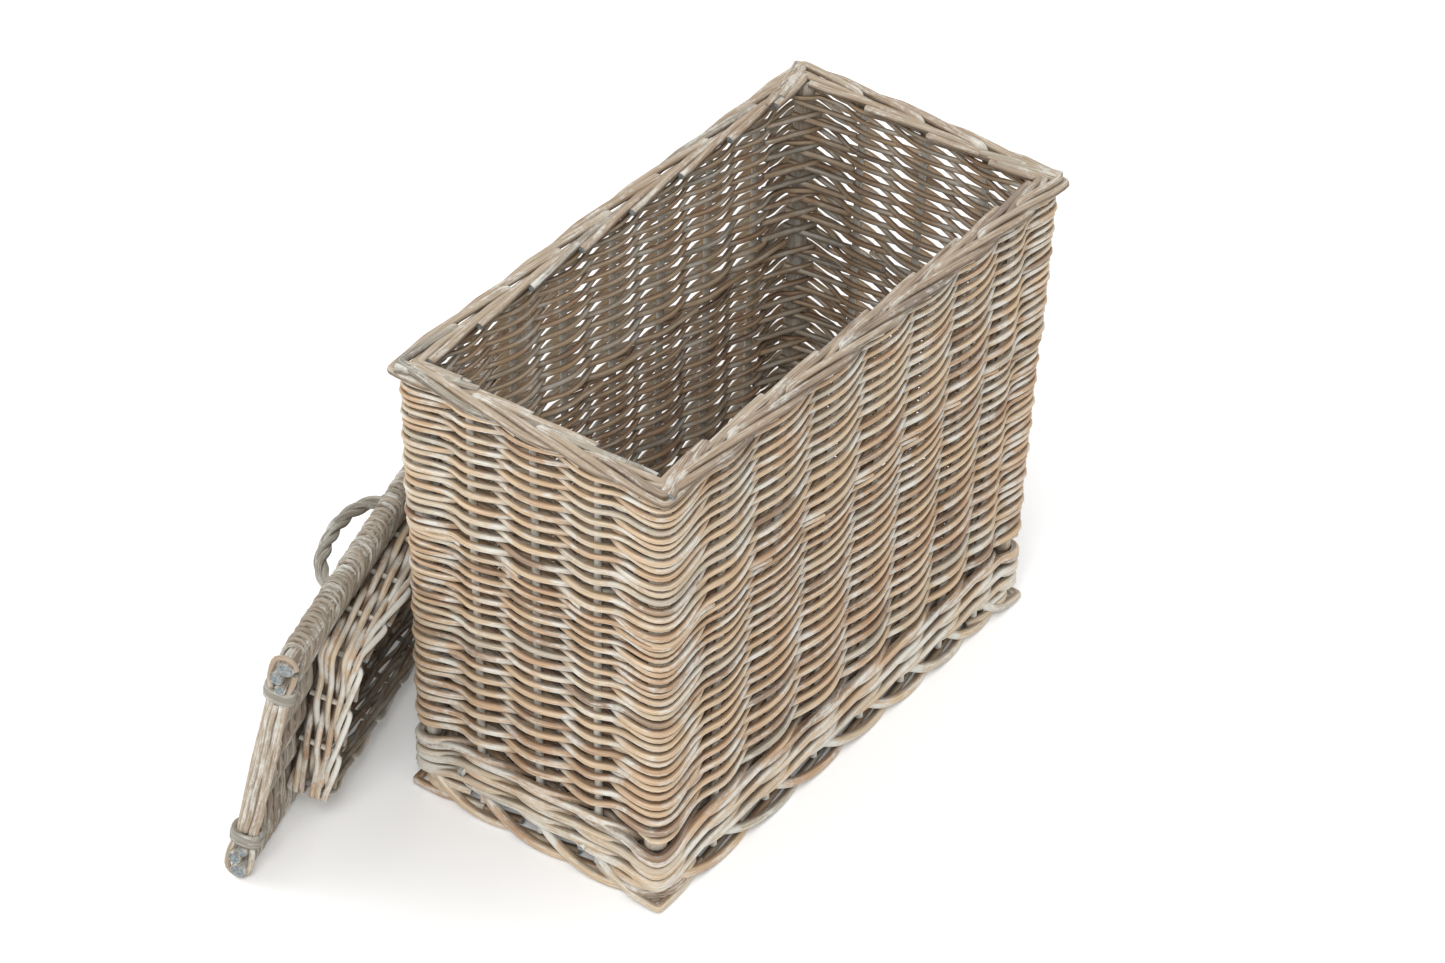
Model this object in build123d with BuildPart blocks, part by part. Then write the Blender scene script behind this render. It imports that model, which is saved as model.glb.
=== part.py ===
from build123d import *
from math import cos, sin, radians
import os

os.makedirs("parts", exist_ok=True)

# Wicker log basket with a loose lid, in millimetres.
# +Z is up, Y runs along the basket's length, X across it.
# The origin is the centre of the basket's foot, on the floor.

# ---------------------------------------------------------------- basket sizes
basket_height = 437.5
rim_length = 540.0
rim_width = 273.0
foot_length = 504.0
foot_width = 252.0

wall_thick = 20.0          # stake with a rod on each side of it
rim_thick = 29.0           # four border rods side by side
corner_radius = 16.5       # outside of the weave where it rounds a post
foot_top = 26.0            # height of the foot border
base_low = 27.0            # underside of the woven base
base_thick = 14.0
wale_top = 73.0            # top of the thick bottom waling
band_joint = 283.0         # where the lower band of weave ends
weave_top = 424.0          # top of the side weave, under the border
ring_gap = 0.3             # between one band of weave and the next

long_stakes = 7            # upright stakes in each long side
short_stakes = 3           # upright stakes in each short side
right_drift = 30.0         # the right side's stakes crowd towards the back by this at mid-length
stake_d = 7.0
post_d = 18.0
post_low = 60.0            # cut ends of the corner posts
post_inset = 6.0           # post centre inside the wall's middle surface
peg_clear = 0.25           # round every stick that passes through weave

base_stick_d = 9.0
base_stick_count = 8

# ---------------------------------------------------------------- lid sizes
lid_length = 540.0
lid_width = 250.0
roll_height = 38.0         # wrapped bundle along each long edge
roll_thick = 22.0
panel_thick = 12.0
lid_end_thick = 9.0        # end border rods
lid_end_gap = 4.0          # from the end border to the woven panel
stick_overhang = 6.0       # cut ends of the edge sticks past the end border
edge_stick_r = (7.0, 6.0, 4.5)
edge_stick_v = (11.0, 23.2, 32.7)
edge_stick_n = (2.0, -3.5, 1.5)
inner_stick_d = 8.0
inner_stick_count = 5
binding_from_edge = 38.5
binding_wide = 10.0
binding_wall = 3.5

plug_length = 410.0        # raised frame on the lid's underside
plug_width = 168.0
plug_wall = 14.0
plug_height = 45.0         # its edge, from the lid's middle plane
plug_border_high = 10.0
plug_stake_d = 5.0
plug_radius = 14.0

handle_d = 11.0
handle_span = 126.0
handle_height = 56.5       # from the lid's middle plane to the loop's middle
handle_shift = 7.0         # towards the far end

# The lid stands on one long edge and leans on the basket's corner.
lean = 11.7
yaw = 17.3
lid_x = -rim_width / 2 - 29.3
lid_y = -rim_length / 2 - 153.0


# ---------------------------------------------------------------- wall surface
def grow(z):
    """Share of the way from the foot to the rim at height z."""
    return z / basket_height


def wall_half(z):
    """Half width and half length of the wall's middle surface at height z."""
    low = (foot_width / 2 - wall_thick / 2, foot_length / 2 - wall_thick / 2)
    top = (rim_width / 2 - 3 - wall_thick / 2, rim_length / 2 - 3 - wall_thick / 2)
    g = grow(z)
    return (low[0] + (top[0] - low[0]) * g, low[1] + (top[1] - low[1]) * g)


def post_point(sx, sy, z):
    hx, hy = wall_half(z)
    return Vector(sx * (hx - post_inset), sy * (hy - post_inset), z)


def long_stake_point(sx, i, z):
    hx, hy = wall_half(z)
    share = (i + 1) / (long_stakes + 1)
    drift = right_drift * 4 * share * (1 - share) if sx > 0 else 0
    return Vector(sx * hx, hy * (2 * share - 1) + drift, z)


def short_stake_point(sy, i, z):
    hx, hy = wall_half(z)
    return Vector(hx * (2 * (i + 1) / (short_stakes + 1) - 1), sy * hy, z)


def rod(p, q, r, mode=Mode.ADD):
    """A straight round stick from p to q, inside the current part."""
    axis = q - p
    with BuildSketch(Plane(origin=p, z_dir=axis)) as end:
        Circle(r)
    extrude(end.sketch, amount=axis.length, mode=mode)


corners = [(-1, -1), (1, -1), (1, 1), (-1, 1)]


def all_stakes():
    """Every upright as a function of height, with its radius."""
    out = []
    for sx in (-1, 1):
        for i in range(long_stakes):
            out.append((lambda z, sx=sx, i=i: long_stake_point(sx, i, z), stake_d / 2))
    for sy in (-1, 1):
        for i in range(short_stakes):
            out.append((lambda z, sy=sy, i=i: short_stake_point(sy, i, z), stake_d / 2))
    return out


def tapered_band(z0, z1, outset, inset, radius_out, radius_in):
    """A rectangular ring of wall from z0 to z1 about the middle surface."""
    for side, radius, mode in ((outset, radius_out, Mode.ADD), (-inset, radius_in, Mode.SUBTRACT)):
        outlines = []
        for z in (z0, z1):
            hx, hy = wall_half(z)
            with BuildSketch(Plane.XY.offset(z)) as outline:
                RectangleRounded(2 * (hx + side), 2 * (hy + side), radius)
            outlines.append(outline.sketch)
        loft(outlines, mode=mode)


def bore_uprights(z0, z1):
    """Holes through the current ring for the stakes."""
    for point, r in all_stakes():
        rod(point(z0), point(z1), r + peg_clear, Mode.SUBTRACT)


def bore_posts(z0, z1):
    for sx, sy in corners:
        rod(post_point(sx, sy, z0), post_point(sx, sy, z1), post_d / 2 + peg_clear, Mode.SUBTRACT)


# ---------------------------------------------------------------- corner posts
post_top = basket_height - 8.0
post_names = ("post_front_left", "post_front_right", "post_back_right", "post_back_left")
for name, (sx, sy) in zip(post_names, corners):
    with BuildPart() as corner_post:
        rod(post_point(sx, sy, post_low), post_point(sx, sy, post_top), post_d / 2)
    corner_post.part.label = name
    export_step(corner_post.part, f"parts/{name}.step")

# ---------------------------------------------------------------- side stakes
stake_low = 12.0
stake_top = basket_height - 6.0
for name, sx in (("stakes_left", -1), ("stakes_right", 1)):
    with BuildPart() as side_stakes:
        for i in range(long_stakes):
            rod(long_stake_point(sx, i, stake_low), long_stake_point(sx, i, stake_top), stake_d / 2)
    side_stakes.part.label = name
    export_step(side_stakes.part, f"parts/{name}.step")

for name, sy in (("stakes_front", -1), ("stakes_back", 1)):
    with BuildPart() as end_stakes:
        for i in range(short_stakes):
            rod(short_stake_point(sy, i, stake_low), short_stake_point(sy, i, stake_top), stake_d / 2)
    end_stakes.part.label = name
    export_step(end_stakes.part, f"parts/{name}.step")

# ---------------------------------------------------------------- foot border
half_wall = wall_thick / 2
inner_radius = 5.0
with BuildPart() as foot_border:
    tapered_band(0, foot_top, half_wall, half_wall, corner_radius, inner_radius)
    bore_uprights(stake_low - 0.5, foot_top + 3)
foot_border.part.label = "foot_border"
export_step(foot_border.part, "parts/foot_border.step")

# ---------------------------------------------------------------- bottom waling
with BuildPart() as bottom_waling:
    tapered_band(foot_top + ring_gap, wale_top, half_wall + 1, half_wall, corner_radius, inner_radius)
    bore_uprights(foot_top - 3, wale_top + 3)
    bore_posts(post_low - 0.5, wale_top + 3)
bottom_waling.part.label = "bottom_waling"
export_step(bottom_waling.part, "parts/bottom_waling.step")

# ---------------------------------------------------------------- side weave
with BuildPart() as lower_weave:
    tapered_band(wale_top + ring_gap, band_joint, half_wall, half_wall, corner_radius, inner_radius)
    bore_uprights(wale_top - 3, band_joint + 3)
    bore_posts(wale_top - 3, band_joint + 3)
lower_weave.part.label = "lower_weave"
export_step(lower_weave.part, "parts/lower_weave.step")

with BuildPart() as upper_weave:
    tapered_band(band_joint + ring_gap, weave_top, half_wall, half_wall, corner_radius, inner_radius)
    bore_uprights(band_joint - 3, weave_top + 3)
    bore_posts(band_joint - 3, weave_top + 3)
upper_weave.part.label = "upper_weave"
export_step(upper_weave.part, "parts/upper_weave.step")

# ---------------------------------------------------------------- top border
with BuildPart() as top_border:
    with BuildSketch(Plane.XY.offset(weave_top + ring_gap)):
        RectangleRounded(rim_width, rim_length, corner_radius)
        RectangleRounded(rim_width - 2 * rim_thick, rim_length - 2 * rim_thick, inner_radius,
                         mode=Mode.SUBTRACT)
    extrude(amount=basket_height - weave_top - ring_gap)
    fillet(top_border.faces().sort_by(Axis.Z)[-1].edges(), radius=4.5)
    bore_uprights(weave_top - 3, stake_top + 0.5)
    bore_posts(weave_top - 3, post_top + 0.5)
top_border.part.label = "top_border"
export_step(top_border.part, "parts/top_border.step")

# ---------------------------------------------------------------- woven base
base_mid = base_low + base_thick / 2
base_hx, base_hy = wall_half(base_low)
base_half_x = base_hx - half_wall - 0.5
base_half_y = base_hy - half_wall - 0.5
stick_pitch = (2 * base_half_x - 16) / (base_stick_count - 1)


def base_stick_x(i):
    return (i - (base_stick_count - 1) / 2) * stick_pitch


with BuildPart() as base_sticks:
    for i in range(base_stick_count):
        rod(Vector(base_stick_x(i), 3 - base_half_y, base_mid),
            Vector(base_stick_x(i), base_half_y - 3, base_mid), base_stick_d / 2)
base_sticks.part.label = "base_sticks"
export_step(base_sticks.part, "parts/base_sticks.step")

with BuildPart() as base_weave:
    with BuildSketch(Plane.XY.offset(base_low)):
        RectangleRounded(2 * base_half_x, 2 * base_half_y, inner_radius)
    extrude(amount=base_thick)
    for i in range(base_stick_count):
        rod(Vector(base_stick_x(i), 2.5 - base_half_y, base_mid),
            Vector(base_stick_x(i), base_half_y - 2.5, base_mid),
            base_stick_d / 2 + peg_clear, Mode.SUBTRACT)
base_weave.part.label = "base_weave"
export_step(base_weave.part, "parts/base_weave.step")

# ---------------------------------------------------------------- lid frame of reference
# Local x runs along the lid, y up its width, z out of its underside.
lid_u = Vector(-sin(radians(yaw)), cos(radians(yaw)), 0)
lid_n = Vector(cos(radians(lean)) * cos(radians(yaw)),
               cos(radians(lean)) * sin(radians(yaw)),
               -sin(radians(lean)))
# The lower roll is rounded, so tilting it lowers its edge by this much.
roll_round = roll_thick / 2
lid_z = roll_round * (1 - cos(radians(lean)))
lid_plane = Plane(origin=(lid_x, lid_y, lid_z), x_dir=lid_u, z_dir=lid_n)
lid_mid_u = lid_length / 2
lid_mid_v = lid_width / 2


def on_lid(u, v, n):
    """A point given along, up and out of the lid's underside."""
    return lid_plane.from_local_coords(Vector(u, v, n))


def edge_stick(upper, k):
    v = edge_stick_v[k]
    return (lid_width - v if upper else v, edge_stick_n[k], edge_stick_r[k])


def inner_stick_v(i):
    span = lid_width - 2 * roll_height - 16
    return roll_height + 8 + span * i / (inner_stick_count - 1)


# ---------------------------------------------------------------- lid sticks
for name, upper in (("lid_edge_sticks_lower", False), ("lid_edge_sticks_upper", True)):
    with BuildPart() as edge_sticks:
        for k in range(len(edge_stick_r)):
            v, n, r = edge_stick(upper, k)
            rod(on_lid(-stick_overhang, v, n), on_lid(lid_length + stick_overhang, v, n), r)
    edge_sticks.part.label = name
    export_step(edge_sticks.part, f"parts/{name}.step")

stick_from = lid_end_thick + lid_end_gap
with BuildPart() as lid_inner_sticks:
    for i in range(inner_stick_count):
        rod(on_lid(stick_from + 1, inner_stick_v(i), 0),
            on_lid(lid_length - stick_from - 1, inner_stick_v(i), 0), inner_stick_d / 2)
lid_inner_sticks.part.label = "lid_inner_sticks"
export_step(lid_inner_sticks.part, "parts/lid_inner_sticks.step")

# ---------------------------------------------------------------- plug stakes
plug_mid_u = plug_length / 2 - plug_wall / 2
plug_mid_v = plug_width / 2 - plug_wall / 2
plug_low = 0.0
plug_stake_top = plug_height - 4.0
plug_long_count = 7
plug_short_count = 2


def plug_stake_spots():
    """Where the short stakes of the raised frame stand, as u and v."""
    spots = []
    for i in range(plug_long_count):
        du = plug_mid_u * (2 * (i + 1) / (plug_long_count + 1) - 1)
        for s in (-1, 1):
            spots.append((lid_mid_u + du, lid_mid_v + s * plug_mid_v))
    for i in range(plug_short_count):
        dv = plug_mid_v * (2 * (i + 1) / (plug_short_count + 1) - 1)
        for s in (-1, 1):
            spots.append((lid_mid_u + s * plug_mid_u, lid_mid_v + dv))
    for su in (-1, 1):
        for sv in (-1, 1):
            spots.append((lid_mid_u + su * (plug_mid_u - 3), lid_mid_v + sv * (plug_mid_v - 3)))
    return spots


panel_face = panel_thick / 2
with BuildPart() as plug_stakes:
    for u, v in plug_stake_spots():
        rod(on_lid(u, v, panel_face + 0.3), on_lid(u, v, plug_stake_top), plug_stake_d / 2)
plug_stakes.part.label = "plug_stakes"
export_step(plug_stakes.part, "parts/plug_stakes.step")


def plug_ring(n0, n1, extra):
    """A rectangular ring on the underside between two depths."""
    ring_plane = Plane(origin=on_lid(lid_mid_u, lid_mid_v, n0), x_dir=lid_u, z_dir=lid_n)
    with BuildSketch(ring_plane) as ring:
        RectangleRounded(plug_length + 2 * extra, plug_width + 2 * extra, plug_radius)
        RectangleRounded(plug_length - 2 * plug_wall - 2 * extra,
                         plug_width - 2 * plug_wall - 2 * extra, inner_radius,
                         mode=Mode.SUBTRACT)
    extrude(ring.sketch, amount=n1 - n0)


plug_joint = plug_height - plug_border_high
with BuildPart() as plug_weave:
    plug_ring(panel_face + ring_gap, plug_joint, 0)
    for u, v in plug_stake_spots():
        rod(on_lid(u, v, panel_face), on_lid(u, v, plug_joint + 1),
            plug_stake_d / 2 + peg_clear, Mode.SUBTRACT)
plug_weave.part.label = "plug_weave"
export_step(plug_weave.part, "parts/plug_weave.step")

with BuildPart() as plug_border:
    plug_ring(plug_joint + ring_gap, plug_height, 1)
    for u, v in plug_stake_spots():
        rod(on_lid(u, v, plug_joint), on_lid(u, v, plug_stake_top + 0.5),
            plug_stake_d / 2 + peg_clear, Mode.SUBTRACT)
plug_border.part.label = "plug_border"
export_step(plug_border.part, "parts/plug_border.step")

# ---------------------------------------------------------------- handle
handle_mid_u = lid_mid_u + handle_shift
leg_end = -inner_stick_d / 2 - 0.7
foot_x = handle_span / 2
shoulder_x = foot_x - 2.0
shoulder_high = handle_height - 8.5
loop_plane = Plane(origin=on_lid(handle_mid_u, lid_mid_v, 0), x_dir=lid_u, z_dir=lid_u.cross(-lid_n))
with BuildPart() as handle:
    with BuildLine(loop_plane) as loop:
        FilletPolyline((-foot_x, -leg_end), (-shoulder_x, shoulder_high), (0, handle_height + 0.5),
                       (shoulder_x, shoulder_high), (foot_x, -leg_end), radius=24.0)
    with BuildSketch(Plane(origin=loop.line @ 0, x_dir=loop_plane.z_dir, z_dir=loop.line % 0)):
        Circle(handle_d / 2)
    sweep()
handle.part.label = "handle"
export_step(handle.part, "parts/handle.step")

# ---------------------------------------------------------------- lid weave
section_plane = Plane(origin=on_lid(stick_from, 0, 0), x_dir=lid_plane.y_dir, z_dir=lid_u)
panel_long = lid_length - 2 * stick_from
with BuildPart() as lid_weave:
    with BuildSketch(section_plane):
        with Locations((lid_mid_v, 0)):
            Rectangle(lid_width - 2 * roll_round, panel_thick)
        with Locations((roll_height / 2, 0), (lid_width - roll_height / 2, 0)):
            SlotOverall(roll_height, roll_thick)
    extrude(amount=panel_long)
    for upper in (False, True):
        for k in range(len(edge_stick_r)):
            v, n, r = edge_stick(upper, k)
            rod(on_lid(stick_from - 1, v, n), on_lid(lid_length - stick_from + 1, v, n),
                r + peg_clear, Mode.SUBTRACT)
    for i in range(inner_stick_count):
        rod(on_lid(stick_from - 1, inner_stick_v(i), 0),
            on_lid(lid_length - stick_from + 1, inner_stick_v(i), 0),
            inner_stick_d / 2 + peg_clear, Mode.SUBTRACT)
    for s in (-1, 1):
        rod(on_lid(handle_mid_u + s * handle_span / 2, lid_mid_v, leg_end + 0.5),
            on_lid(handle_mid_u + s * handle_span / 2, lid_mid_v, -panel_thick),
            handle_d / 2 + 1.2, Mode.SUBTRACT)
lid_weave.part.label = "lid_weave"
export_step(lid_weave.part, "parts/lid_weave.step")

# ---------------------------------------------------------------- lid ends
for name, start in (("lid_end_near", 0.0), ("lid_end_far", lid_length - lid_end_thick)):
    end_plane = Plane(origin=on_lid(start, 0, 0), x_dir=lid_plane.y_dir, z_dir=lid_u)
    with BuildPart() as lid_end:
        with BuildSketch(end_plane):
            with Locations((lid_mid_v, 0)):
                SlotOverall(lid_width, roll_thick)
        extrude(amount=lid_end_thick)
        for upper in (False, True):
            for k in range(len(edge_stick_r)):
                v, n, r = edge_stick(upper, k)
                rod(on_lid(start - 1, v, n), on_lid(start + lid_end_thick + 1, v, n),
                    r + peg_clear, Mode.SUBTRACT)
    lid_end.part.label = name
    export_step(lid_end.part, f"parts/{name}.step")

binding_names = ("binding_near_lower", "binding_near_upper", "binding_far_lower", "binding_far_upper")
binding_spots = ((0, False), (0, True), (1, False), (1, True))
for name, (far, upper) in zip(binding_names, binding_spots):
    u0 = (lid_length - lid_end_thick if far else 0) - 0.2
    v0 = lid_width - binding_from_edge - binding_wide if upper else binding_from_edge
    bind_plane = Plane(origin=on_lid(u0 + lid_end_thick / 2 + 0.2, v0, 0), x_dir=lid_u,
                       z_dir=lid_plane.y_dir)
    with BuildPart() as binding:
        with BuildSketch(bind_plane):
            RectangleRounded(lid_end_thick + 2 * binding_wall, roll_thick + 2 * binding_wall, 3.0)
            RectangleRounded(lid_end_thick + 0.4, roll_thick + 0.4, 0.5, mode=Mode.SUBTRACT)
        extrude(amount=binding_wide)
    binding.part.label = name
    export_step(binding.part, f"parts/{name}.step")
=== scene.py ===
import math

import bpy
import numpy as np
from mathutils import Matrix, Vector


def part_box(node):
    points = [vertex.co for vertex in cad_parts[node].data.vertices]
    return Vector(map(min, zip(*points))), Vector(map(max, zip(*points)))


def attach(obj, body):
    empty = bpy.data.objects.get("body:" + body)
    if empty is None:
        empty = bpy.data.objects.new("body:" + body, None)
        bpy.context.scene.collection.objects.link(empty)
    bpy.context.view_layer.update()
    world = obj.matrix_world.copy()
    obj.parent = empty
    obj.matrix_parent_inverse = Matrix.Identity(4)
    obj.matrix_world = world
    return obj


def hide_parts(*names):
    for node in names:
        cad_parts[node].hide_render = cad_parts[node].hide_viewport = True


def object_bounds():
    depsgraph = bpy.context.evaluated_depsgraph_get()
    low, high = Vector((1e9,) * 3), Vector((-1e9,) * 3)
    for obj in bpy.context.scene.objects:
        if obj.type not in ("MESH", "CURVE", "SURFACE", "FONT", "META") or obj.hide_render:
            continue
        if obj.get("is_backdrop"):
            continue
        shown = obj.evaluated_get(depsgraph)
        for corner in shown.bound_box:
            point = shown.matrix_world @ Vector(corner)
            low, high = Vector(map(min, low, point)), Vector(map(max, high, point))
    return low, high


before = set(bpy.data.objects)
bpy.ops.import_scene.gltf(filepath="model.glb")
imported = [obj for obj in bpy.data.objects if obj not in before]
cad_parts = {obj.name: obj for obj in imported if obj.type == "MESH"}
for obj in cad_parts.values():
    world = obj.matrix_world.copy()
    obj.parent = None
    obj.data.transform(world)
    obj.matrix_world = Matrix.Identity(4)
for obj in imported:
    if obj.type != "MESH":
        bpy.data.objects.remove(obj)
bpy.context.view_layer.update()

# Wicker log basket with its loose lid. Every woven part is a bundle of separate
# tapered willow rods that follow the real over-and-under paths round the stakes.
# Lengths below are in millimetres; meshes are written in metres.
MM = 0.001
rng = np.random.default_rng(24)


# ---------------------------------------------------------------- sizes from the CAD
def cad_box(node):
    low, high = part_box(node)
    return np.array(low) / MM, np.array(high) / MM


RIM_HIGH = cad_box("top_border")[1]
FOOT_TOP = cad_box("foot_border")[1][2]
WALE_TOP = cad_box("bottom_waling")[1][2]
BAND_JOINT = cad_box("lower_weave")[1][2]
WEAVE_TOP = cad_box("upper_weave")[1][2]
HEIGHT = RIM_HIGH[2]
POST_LOW = cad_box("post_front_left")[0][2]
POST_TOP = cad_box("post_front_left")[1][2]
BASE_LOW, BASE_HIGH = cad_box("base_weave")

WALL = 20.0              # stake with a rod on each side
POST_INSET = 6.0         # from the post's centre out to the wall's middle surface
POST_R = 9.0
STAKE_R = 3.5
RIGHT_DRIFT = 30.0       # right side's stakes crowd towards the back
SHORT_STAKES = 3
LONG_STAKES = 7
RIM_OVERHANG = 3.0       # the border stands this far out of the wall
FOOT_WIDTH, FOOT_LENGTH = 252.0, 504.0
# Half width and half length of the wall's middle surface at the top and at the floor.
TOP_HALF = RIM_HIGH[:2] - RIM_OVERHANG - WALL / 2
FOOT_HALF = np.array([FOOT_WIDTH - WALL, FOOT_LENGTH - WALL]) / 2


def wall_half(z):
    """Half width and half length of the wall's middle surface at height z."""
    return FOOT_HALF + (TOP_HALF - FOOT_HALF) * (z / HEIGHT)


# ---------------------------------------------------------------- rods into meshes
def unit(v):
    return v / np.maximum(np.linalg.norm(v, axis=-1, keepdims=True), 1e-12)


def travelled(path):
    """Distance along a path at each of its points."""
    return np.concatenate(([0], np.cumsum(np.linalg.norm(np.diff(path, axis=0), axis=1))))


def relax(path, times=2):
    """Rounds a path's corners, keeping its ends."""
    p = np.array(path, float)
    for _ in range(times):
        p[1:-1] = (p[:-2] + 2 * p[1:-1] + p[2:]) / 4
    return p


def wander(x, size, length):
    """A slow random drift of about that size along x."""
    out = 0.0
    for f in (1.0, 1.83, 3.07):
        out = out + np.sin(x * (2 * math.pi * f / length) + rng.uniform(0, 6.283)) / f
    return size * out / 1.6


def resample(path, step):
    """Evenly spaced points along a path."""
    p = np.asarray(path, float)
    d = travelled(p)
    n = max(2, int(round(d[-1] / step)) + 1)
    want = np.linspace(0, d[-1], n)
    return np.stack([np.interp(want, d, p[:, i]) for i in range(3)], axis=1)


def spline(keys, step=4.0, times=6):
    """A smooth path near listed points."""
    return resample(relax(resample(keys, 1.6), times * 6), step)


CUT_SHRINK = 0.86        # a cut end's radius against the rod's
OVAL_TWIST = 45.0        # length over which a rod's oval section turns by one radian
GRAIN_SPREAD = 400.0     # each rod reads its own place in the wood texture


class Bundle:
    """Rods that end up in one mesh, with what their material needs to know."""

    def __init__(self, sides=8):
        self.sides = sides
        self.co, self.quads, self.caps = [], [], []
        self.tone, self.wash, self.grain = [], [], []
        self.count = 0

    def rod(self, path, radius, tone=None, wash=0.0, oval=0.05, chamfer=0.16):
        """One round rod. Radius and wash are one value each or one per point of the path."""
        p = np.asarray(path, float)
        r = np.broadcast_to(np.asarray(radius, float), len(p)).copy()
        w = np.broadcast_to(np.asarray(wash, float), len(p)).copy()
        keep = np.concatenate(([True], np.linalg.norm(np.diff(p, axis=0), axis=1) > 0.05))
        p, r, w = p[keep], r[keep], w[keep]
        if len(p) < 3:
            p = resample(p, np.linalg.norm(p[-1] - p[0]) / 3)
            r = np.linspace(r[0], r[-1], len(p))
            w = np.linspace(w[0], w[-1], len(p))
        first, last = unit(p[1] - p[0]), unit(p[-2] - p[-1])
        p = np.vstack([p[0], p[0] + first * r[0] * chamfer, p[1:-1],
                       p[-1] + last * r[-1] * chamfer, p[-1]])
        r = np.concatenate([[r[0] * CUT_SHRINK, r[0]], r[1:-1], [r[-1], r[-1] * CUT_SHRINK]])
        w = np.concatenate([[w[0], w[0]], w[1:-1], [w[-1], w[-1]]])
        n, s = len(p), self.sides
        along = travelled(p)
        tangent = np.empty_like(p)
        tangent[1:-1] = unit(unit(p[2:] - p[1:-1]) + unit(p[1:-1] - p[:-2]))
        tangent[0], tangent[-1] = first, -last
        side = np.empty_like(p)
        ref = np.array([0.31, 0.52, 0.79])
        for i in range(n):
            ref = ref - tangent[i] * np.dot(ref, tangent[i])
            ref = ref / np.linalg.norm(ref)
            side[i] = ref
        up = np.cross(tangent, side)
        a = np.arange(s) * (2 * math.pi / s)
        ca, sa = np.cos(a), np.sin(a)
        squash = 1 + oval * np.sin(2 * a[None, :] + rng.uniform(0, 6.28)
                                   + along[:, None] / OVAL_TWIST)
        rr = (r[:, None] * squash)[:, :, None]
        spokes = ca[None, :, None] * side[:, None, :] + sa[None, :, None] * up[:, None, :]
        self.co.append((p[:, None, :] + spokes * rr).reshape(-1, 3))
        base = self.count
        i = np.arange(n - 1)[:, None] * s
        j = np.arange(s)[None, :]
        k = (j + 1) % s
        quads = np.stack([i + j, i + k, i + s + k, i + s + j], axis=-1).reshape(-1, 4) + base
        self.quads.append(quads)
        self.caps.append(base + np.arange(s)[::-1])
        self.caps.append(base + (n - 1) * s + np.arange(s))
        tone = rng.uniform() if tone is None else tone
        self.tone.append(np.full(n * s, tone))
        self.wash.append(np.repeat(w, s))
        shift = rng.uniform(0, GRAIN_SPREAD, 3)
        grain = np.empty((n, s, 3))
        grain[:, :, 0] = ca[None, :] * r[:, None] + shift[0]
        grain[:, :, 1] = sa[None, :] * r[:, None] + shift[1]
        grain[:, :, 2] = along[:, None] + shift[2]
        self.grain.append(grain.reshape(-1, 3))
        self.count += n * s

    def piece(self, name, body, nodes, material, painted_light_mask):
        """Makes the mesh object and ties it to the frame."""
        co = np.concatenate(self.co)
        light = painted_light_mask(co)
        co = co * MM
        quads, caps = np.concatenate(self.quads), np.stack(self.caps)
        loops = np.concatenate([quads.ravel(), caps.ravel()]).astype(np.int32)
        starts = np.concatenate([np.arange(len(quads)) * 4,
                                 quads.size + np.arange(len(caps)) * self.sides])
        smooth = np.concatenate([np.ones(len(quads), bool), np.zeros(len(caps), bool)])
        mesh = bpy.data.meshes.new(name)
        mesh.vertices.add(len(co))
        mesh.vertices.foreach_set("co", co.ravel())
        mesh.loops.add(len(loops))
        mesh.loops.foreach_set("vertex_index", loops)
        mesh.polygons.add(len(starts))
        mesh.polygons.foreach_set("loop_start", starts.astype(np.int32))
        mesh.update(calc_edges=True)
        mesh.polygons.foreach_set("use_smooth", smooth)
        # open holds the painted light: below 1 the material paints shade and a duller inner colour
        for label, values in (("tone", self.tone), ("wash", self.wash), ("open", [light])):
            layer = mesh.attributes.new(label, "FLOAT", "POINT")
            layer.data.foreach_set("value", np.concatenate(values))
        layer = mesh.attributes.new("grain", "FLOAT_VECTOR", "POINT")
        layer.data.foreach_set("vector", (np.concatenate(self.grain) * MM).ravel())
        layer = mesh.attributes.new("cut", "FLOAT", "FACE")
        layer.data.foreach_set("value", np.where(smooth, 0.0, 1.0))
        mesh.materials.append(material)
        obj = bpy.data.objects.new(name, mesh)
        bpy.context.scene.collection.objects.link(obj)
        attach(obj, body)
        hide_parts(*nodes)


# ---------------------------------------------------------------- willow materials
def srgb(r, g, b):
    """Display colour to the linear colour that shaders use."""
    out = []
    for c in (r, g, b):
        c = c / 255
        out.append(c / 12.92 if c <= 0.04045 else ((c + 0.055) / 1.055) ** 2.4)
    return (*out, 1.0)


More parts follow.
